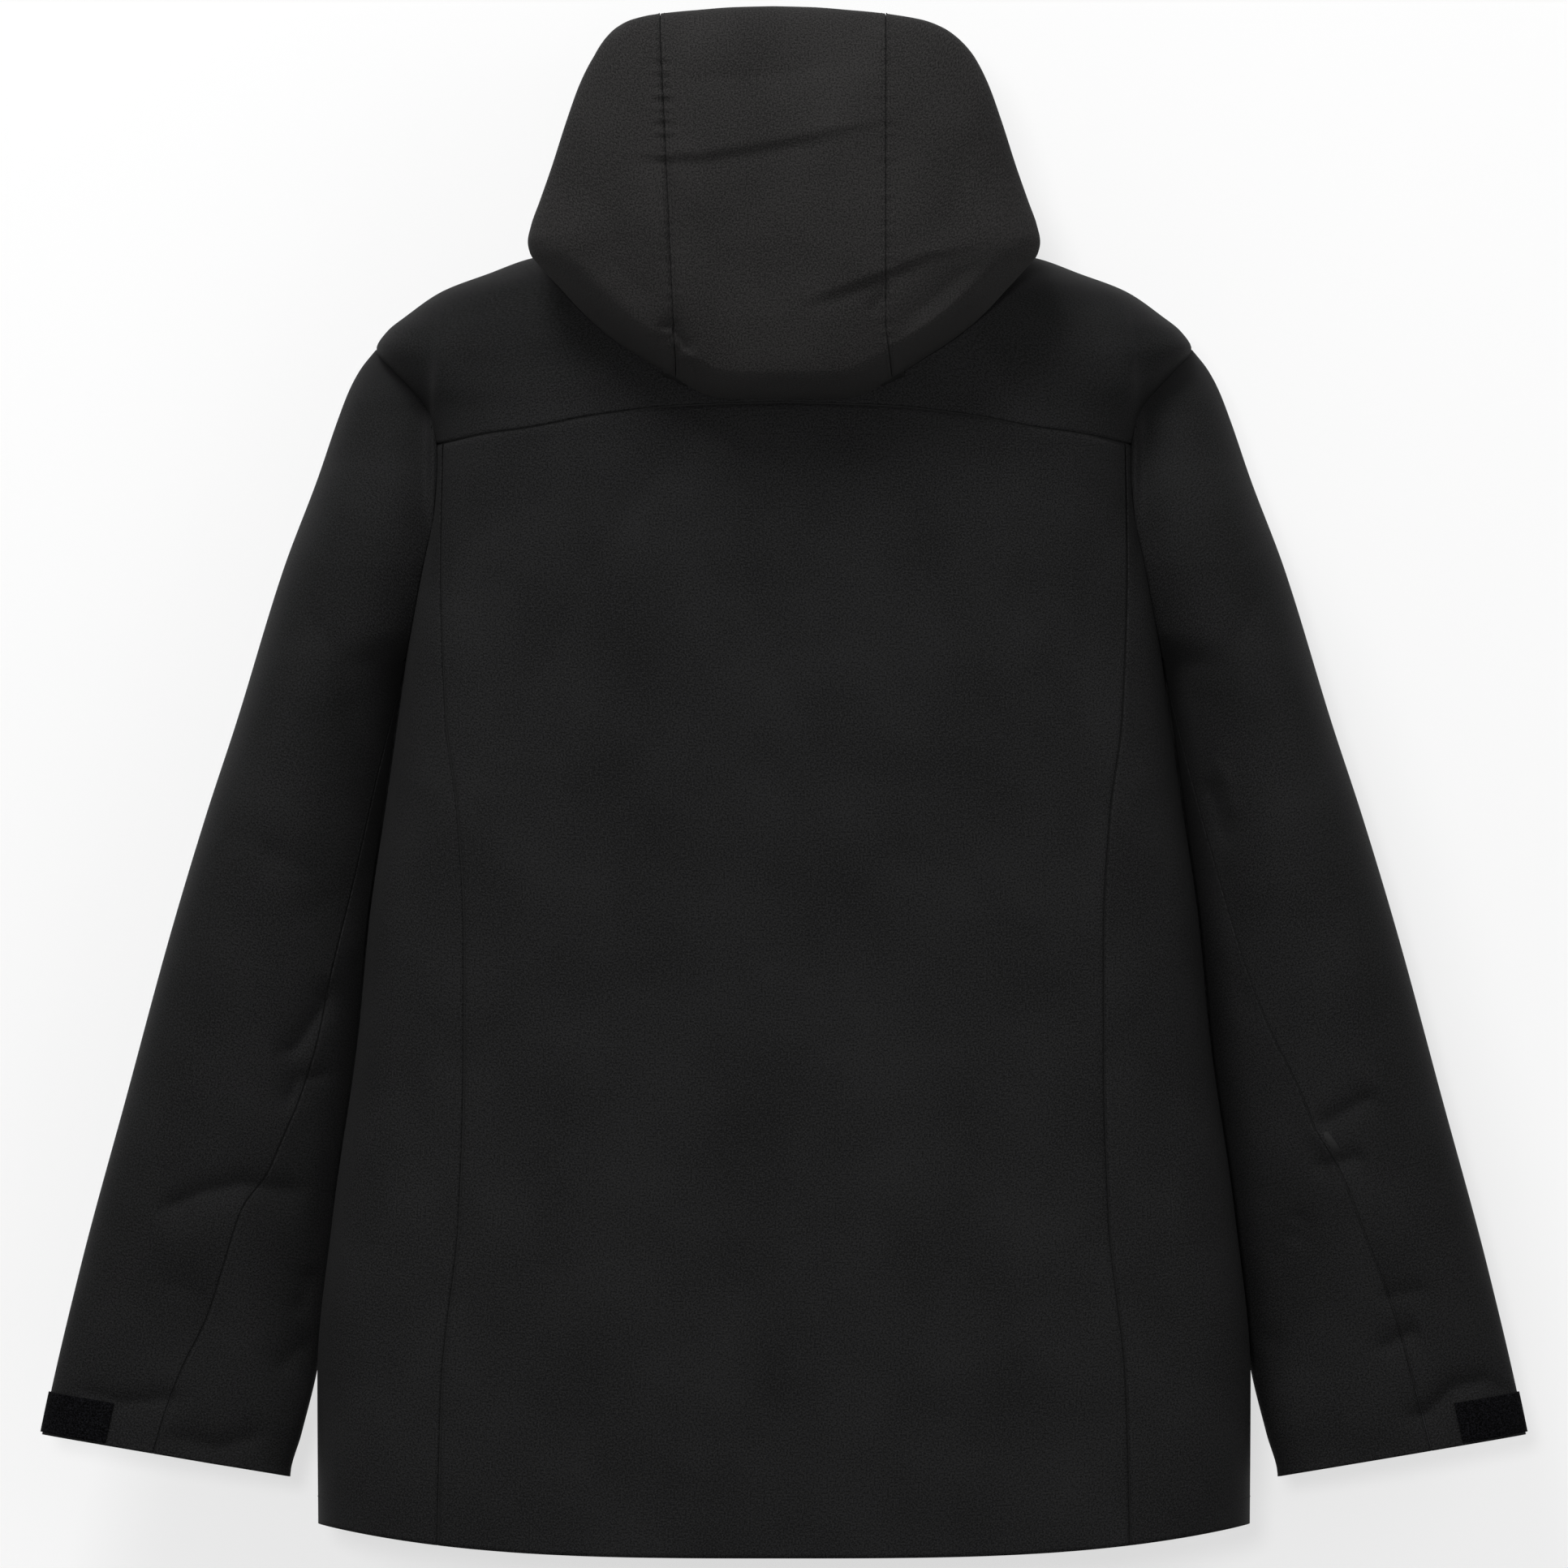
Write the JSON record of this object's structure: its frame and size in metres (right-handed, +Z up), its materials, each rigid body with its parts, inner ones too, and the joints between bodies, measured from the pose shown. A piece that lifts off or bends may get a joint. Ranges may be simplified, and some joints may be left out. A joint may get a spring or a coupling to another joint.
{
  "type": "hardshell jacket",
  "caption": "Hooded waterproof shell jacket, upright and filled out as on a wearer, with front zip, hand pockets, adjustable cuffs and a brimmed hood.",
  "frame": {"origin": "where the neck loop bears on a hook, inside the back of the neck", "axes": "+Z up, +Y the way the wearer faces, +X the wearer's right"},
  "size_m": [0.8794, 0.2466, 0.915],
  "materials": {
    "shell_cloth": "matte three-layer shell cloth",
    "hood_cloth": "matte three-layer shell cloth, a shade lighter",
    "lining": "matte lining and facing cloth",
    "tape": "woven tape",
    "loop_pile": "fuzzy loop side of hook-and-loop",
    "hook_tape": "hook side of hook-and-loop",
    "zip_coil": "coated zip coil",
    "dark_metal": "black painted metal",
    "puller_rubber": "moulded rubber"
  },
  "bodies": {
    "torso": {"back_panel": "shell_cloth", "back_yoke": "shell_cloth", "collar": "shell_cloth", "front_panel_left": "shell_cloth", "front_panel_right": "shell_cloth", "front_yoke_left": "shell_cloth", "front_yoke_right": "shell_cloth", "hem_eyelet_left": "dark_metal", "hem_eyelet_right": "dark_metal", "hem_facing": "lining", "hood_centre_panel": "hood_cloth", "hood_face_facing": "lining", "hood_side_panel_left": "hood_cloth", "hood_side_panel_right": "hood_cloth", "neck_loop": "tape", "pocket_bag_left": "lining", "pocket_bag_right": "lining", "pocket_zip_left": "zip_coil", "pocket_zip_right": "zip_coil", "side_panel_left": "shell_cloth", "side_panel_right": "shell_cloth", "storm_flap": "shell_cloth", "zip_coil_left": "zip_coil", "zip_coil_right": "zip_coil", "zip_retaining_box": "dark_metal", "zip_tape_left": "tape", "zip_tape_right": "tape", "zip_top_stop_left": "dark_metal", "zip_top_stop_right": "dark_metal"},
    "sleeve_right": {"cuff_facing_right": "lining", "cuff_loop_patch_right": "loop_pile", "sleeve_back_right": "shell_cloth", "sleeve_front_right": "shell_cloth", "sleeve_under_right": "shell_cloth"},
    "sleeve_left": {"cuff_facing_left": "lining", "cuff_loop_patch_left": "loop_pile", "sleeve_back_left": "shell_cloth", "sleeve_front_left": "shell_cloth", "sleeve_under_left": "shell_cloth"},
    "tab_right": {"cuff_hook_patch_right": "hook_tape", "cuff_tab_right": "shell_cloth"},
    "tab_left": {"cuff_hook_patch_left": "hook_tape", "cuff_tab_left": "shell_cloth"},
    "brim": {"hood_brim": "hood_cloth"},
    "slider": {"main_slider": "dark_metal"},
    "puller": {"main_puller": "puller_rubber"},
    "pocket_slider_right": {"pocket_slider_right": "dark_metal"},
    "pocket_slider_left": {"pocket_slider_left": "dark_metal"},
    "pocket_puller_right": {"pocket_puller_right": "puller_rubber"},
    "pocket_puller_left": {"pocket_puller_left": "puller_rubber"}
  },
  "joints": [
    {"name": "sleeve_swing_right", "type": "hinge", "parent": "torso", "child": "sleeve_right", "pos_m": [0.243, 0.07, -0.047], "axis": [0, -1, 0], "range_deg": [0, 40]},
    {"name": "sleeve_swing_left", "type": "hinge", "parent": "torso", "child": "sleeve_left", "pos_m": [-0.243, 0.07, -0.047], "axis": [0, 1, 0], "range_deg": [0, 40]},
    {"name": "cuff_tab_open_right", "type": "hinge", "parent": "sleeve_right", "child": "tab_right", "pos_m": [0.3519, 0.1004, -0.6863], "axis": [0, 0.079, 0.9969], "range_deg": [0, 85]},
    {"name": "cuff_tab_open_left", "type": "hinge", "parent": "sleeve_left", "child": "tab_left", "pos_m": [-0.3519, 0.1004, -0.6863], "axis": [0, -0.079, -0.9969], "range_deg": [0, 85]},
    {"name": "brim_flip", "type": "hinge", "parent": "torso", "child": "brim", "pos_m": [0, 0.12166, 0.14], "axis": [1, 0, 0], "range_deg": [0, 60]},
    {"name": "front_zip", "type": "slide", "parent": "torso", "child": "slider", "axis": [0, 0.0335, -0.9994], "range_m": [0, 0.784]},
    {"name": "puller_swing", "type": "hinge", "parent": "slider", "child": "puller", "pos_m": [0, 0.13085, 0.04251], "axis": [1, 0, 0], "range_deg": [0, 90]},
    {"name": "pocket_zip_right", "type": "slide", "parent": "torso", "child": "pocket_slider_right", "axis": [0.1827, 0.0041, -0.9832], "range_m": [0, 0.1611]},
    {"name": "pocket_puller_swing_right", "type": "hinge", "parent": "pocket_slider_right", "child": "pocket_puller_right", "pos_m": [0.15258, 0.13522, -0.41488], "axis": [0.9613, -0.2106, 0.1777], "range_deg": [0, 90]},
    {"name": "pocket_zip_left", "type": "slide", "parent": "torso", "child": "pocket_slider_left", "axis": [-0.1827, 0.0041, -0.9832], "range_m": [0, 0.1611]},
    {"name": "pocket_puller_swing_left", "type": "hinge", "parent": "pocket_slider_left", "child": "pocket_puller_left", "pos_m": [-0.15258, 0.13522, -0.41488], "axis": [0.9613, 0.2106, -0.1777], "range_deg": [0, 90]}
  ]
}
